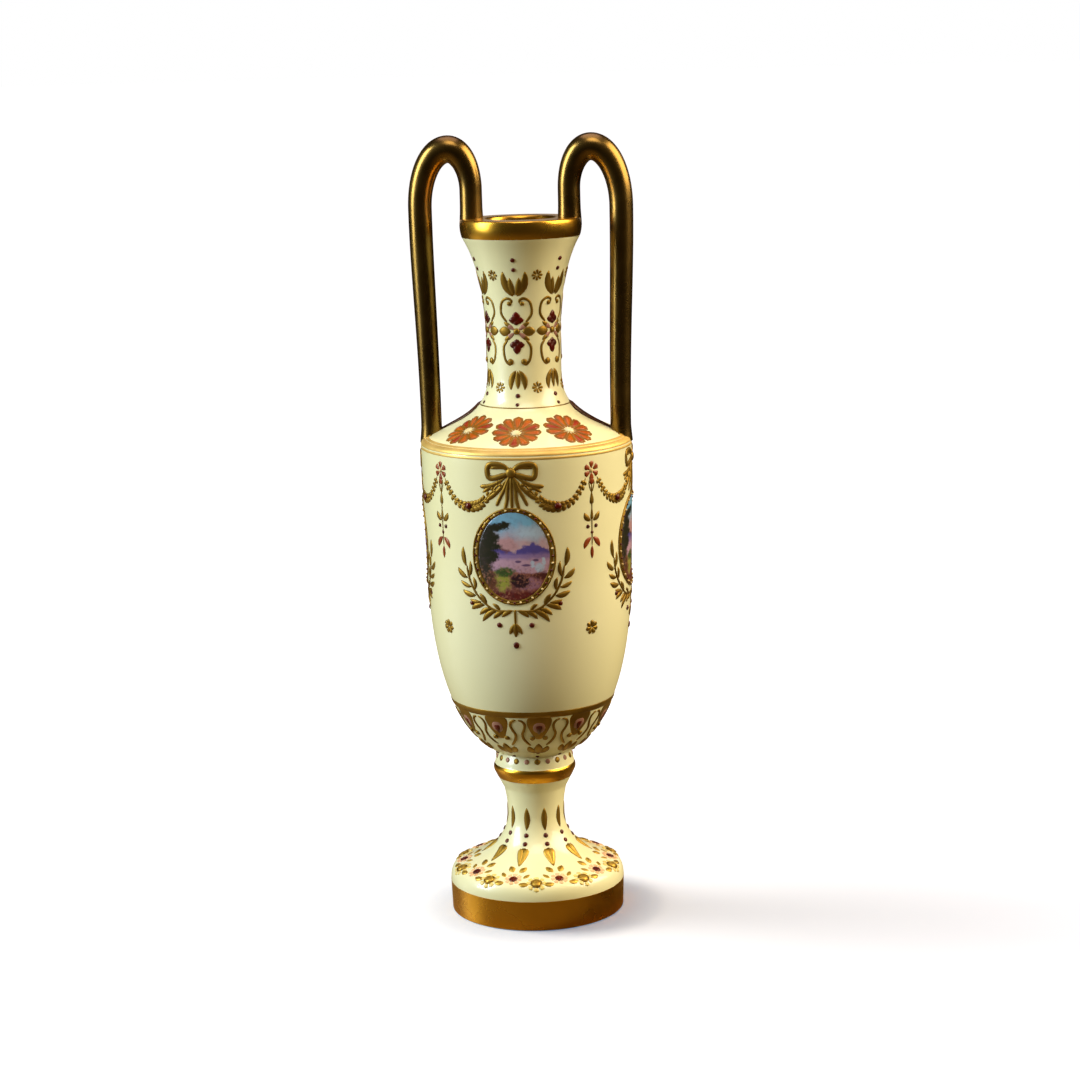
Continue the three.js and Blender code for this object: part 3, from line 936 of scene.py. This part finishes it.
# The studio: a plain white floor under a soft light of its own, which casts the urn's shadow; the floor's
# glow is painted dimmer near the urn, a painted shadow that deepens that shadow and fades it out. A cool
# light on the left, a warm one on the right, one in front, one overhead and a low one behind light the urn
# alone. The room and the table that the glaze and gold reflect are dim, so the gold shows dark between its
# highlights.
FLOOR_REACH = 30  # metres each way
FOOT_SHADE = (0.0285, 0.044)  # from here to here, in metres from the middle, the shade round the foot fades
PAINTED_SHADOW_FADE = (0.035, 0.26)  # and the painted shadow round the urn fades, the paper's glow coming up to full white
TABLE_FADE = (0.2, 0.7)  # and the table darkens
bpy.context.scene.view_settings.view_transform = "Standard"

corners = [(x * FLOOR_REACH, y * FLOOR_REACH, 0) for x, y in ((-1, -1), (1, -1), (1, 1), (-1, 1))]
floor_mesh = bpy.data.meshes.new("floor")
floor_mesh.from_pydata(corners, [], [(0, 1, 2, 3)])
floor = bpy.data.objects.new("floor", floor_mesh)
bpy.context.scene.collection.objects.link(floor)
# to the eye it is white paper with a bluish line of shade round the foot; in the gold and glaze, a dark table
floor_paint, shader, tree = finish("white_floor", {"Roughness": 0.42})
place = node(tree, "TexCoord").outputs["Object"]
away = node(tree, "VectorMath", place, operation="LENGTH").outputs["Value"]
table = node(tree, "MapRange", away, *TABLE_FADE, 0.0, 1.0).outputs[0]
table = blended(tree, table, (0.42, 0.28, 0.11, 1), (0.05, 0.035, 0.015, 1))
tree.links.new(table, shader.inputs["Base Color"])
dark_table = node(tree, "BsdfDiffuse", (0.21, 0.148, 0.072, 1))
paper = node(tree, "BsdfDiffuse", (0.84, 0.835, 0.82, 1))
# the paper's glow, painted dimmer near the urn: a painted shadow round it that fades out to full white
far = node(tree, "MapRange", away, *PAINTED_SHADOW_FADE, 0.62, 1.0).outputs[0]
near = node(tree, "MapRange", away, *FOOT_SHADE, 1.0, 0.0).outputs[0]
glow = node(tree, "Emission", blended(tree, near, (0.955, 0.945, 1, 1), (0.22, 0.36, 0.55, 1)), far)
bright = node(tree, "AddShader", paper.outputs[0], glow.outputs[0])
path = node(tree, "LightPath")
reflected = node(tree, "MixShader", path.outputs["Is Diffuse Ray"], shader.outputs[0], dark_table.outputs[0])
choice = node(tree, "MixShader", path.outputs["Is Camera Ray"], reflected.outputs[0], bright.outputs[0])
tree.links.new(choice.outputs[0], tree.nodes["Material Output"].inputs[0])
floor_mesh.materials.append(floor_paint)

world = bpy.data.worlds.new("studio")
bpy.context.scene.world = world
world.use_nodes = True
tree = world.node_tree
white = node(tree, "Background", (1, 1, 1, 1), 1.0)
dim = node(tree, "Background", (1, 0.8, 0.42, 1), 0.035)
warm = node(tree, "Background", (1, 0.76, 0.36, 1), 0.13)
path = node(tree, "LightPath")
room = node(tree, "MixShader", path.outputs["Is Diffuse Ray"], dim.outputs[0], warm.outputs[0])
choice = node(tree, "MixShader", path.outputs["Is Camera Ray"], room.outputs[0], white.outputs[0])
tree.links.new(choice.outputs[0], tree.nodes["World Output"].inputs[0])


def softbox(name, turn, rise, distance, size, glow, tint):
    """A soft light of this size that faces the urn's middle, turned round from its front and raised, in
    degrees, and so many metres away; glow is how bright its face is."""
    light = bpy.data.lights.new(name, "AREA")
    light.shape = "RECTANGLE"
    light.size, light.size_y = size
    light.energy = glow * math.pi * size[0] * size[1]
    light.color = tint
    made = bpy.data.objects.new(name, light)
    bpy.context.scene.collection.objects.link(made)
    turn, rise = math.radians(turn), math.radians(rise)
    level = distance * math.cos(rise)
    middle = Vector((0, 0, crown.z / 2))
    away = Vector((math.sin(turn) * level, -math.cos(turn) * level, distance * math.sin(rise)))
    made.location = middle + away
    made.rotation_euler = (-away).to_track_quat("-Z", "Y").to_euler()
    return made


floor_alone = bpy.data.collections.new("floor_alone")
floor_alone.objects.link(floor)
floor_light = softbox("floor_light", -95, 24, 1.0, (0.55, 0.7), 9.9, (1, 1, 1))
floor_light.light_linking.receiver_collection = floor_alone
kept_off_floor = bpy.data.collections.new("kept_off_floor")
kept_off_floor.objects.link(floor)
kept_off_floor.collection_objects[0].light_linking.link_state = "EXCLUDE"
for light in (
    softbox("left_light", -70, 21, 1.0, (0.38, 0.76), 14.5, (0.82, 0.94, 1.12)),
    softbox("right_light", 92, 32, 1.0, (0.9, 0.7), 8.8, (1, 0.86, 0.71)),
    softbox("front_light", 10, 64, 1.3, (0.6, 0.6), 4.9, (1, 0.88, 0.9)),
    softbox("top_light", 190, 78, 1.1, (0.8, 0.8), 1.7, (0.95, 0.82, 1.3)),
    softbox("back_light", 186, 9, 1.5, (1.4, 0.4), 0.5, (1, 0.94, 0.84)),
):
    light.light_linking.receiver_collection = kept_off_floor
